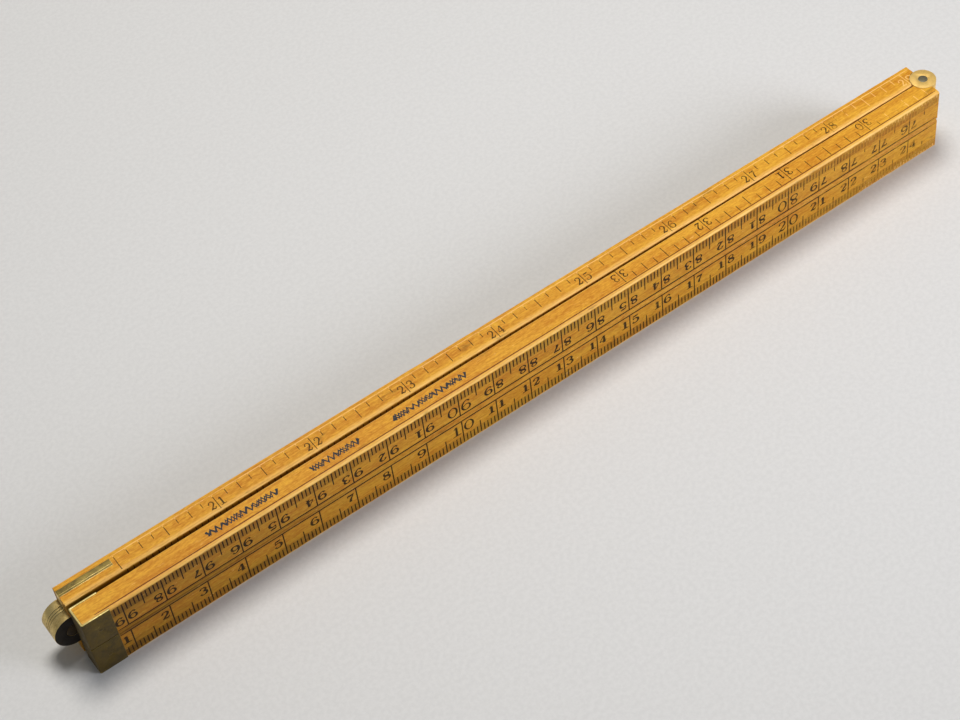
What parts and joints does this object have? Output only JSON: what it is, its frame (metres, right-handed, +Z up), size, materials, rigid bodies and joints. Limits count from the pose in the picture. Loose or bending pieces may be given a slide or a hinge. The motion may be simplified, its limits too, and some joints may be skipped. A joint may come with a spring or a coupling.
{
  "type": "folding rule",
  "caption": "Narrow folding wooden rule with legs that fold on brass hinges and a round main joint, brass tips, standing folded on its edges.",
  "frame": {"origin": "middle of the bounding box, on the surface that the folded rule stands on", "axes": "+X along the folded legs from the round joint to the middle hinges, +Y from the outer legs to the inner legs, +Z up"},
  "size_m": [0.2582, 0.0134, 0.019],
  "materials": {
    "boxwood": "worn varnish over yellow boxwood",
    "joint_brass": "dull, worn bright along the rims",
    "hinge_brass": "worn bright",
    "tip_brass": "aged olive brown with bright edges",
    "rivet_brass": "filed flush, dull",
    "steel": "dark, dull"
  },
  "bodies": {
    "lower_inner": {"lower_inner_leg": "boxwood", "lower_thick_disc": "joint_brass", "lower_thin_disc": "joint_brass", "round_joint_rivet": "steel", "lower_tongue_rivets": "rivet_brass", "lower_inner_leaf": "hinge_brass", "lower_hinge_pin": "steel", "lower_inner_leaf_rivets": "rivet_brass"},
    "upper_inner": {"upper_inner_leg": "boxwood", "upper_thin_disc": "joint_brass", "upper_thick_disc": "joint_brass", "upper_tongue_rivets": "rivet_brass", "upper_inner_leaf": "hinge_brass", "upper_hinge_pin": "steel", "upper_inner_leaf_rivets": "rivet_brass"},
    "lower_outer": {"lower_outer_leg": "boxwood", "lower_tip": "tip_brass", "lower_tip_pin": "rivet_brass", "lower_outer_leaf": "hinge_brass", "lower_outer_leaf_rivets": "rivet_brass"},
    "upper_outer": {"upper_outer_leg": "boxwood", "upper_tip": "tip_brass", "upper_tip_pin": "rivet_brass", "upper_outer_leaf": "hinge_brass", "upper_outer_leaf_rivets": "rivet_brass"}
  },
  "joints": [
    {"name": "round_joint", "type": "hinge", "parent": "lower_inner", "child": "upper_inner", "pos_m": [-0.12427, 0.00368, 0.0095], "axis": [0, -1, 0], "range_deg": [0, 180]},
    {"name": "lower_middle_hinge", "type": "hinge", "parent": "lower_inner", "child": "lower_outer", "pos_m": [0.12573, 0.00048, 0.0047], "axis": [0, 0, 1], "range_deg": [-0.2, 179.78]},
    {"name": "upper_middle_hinge", "type": "hinge", "parent": "upper_inner", "child": "upper_outer", "pos_m": [0.12573, 0.00048, 0.0143], "axis": [0, 0, 1], "range_deg": [-0.2, 179.78]}
  ]
}
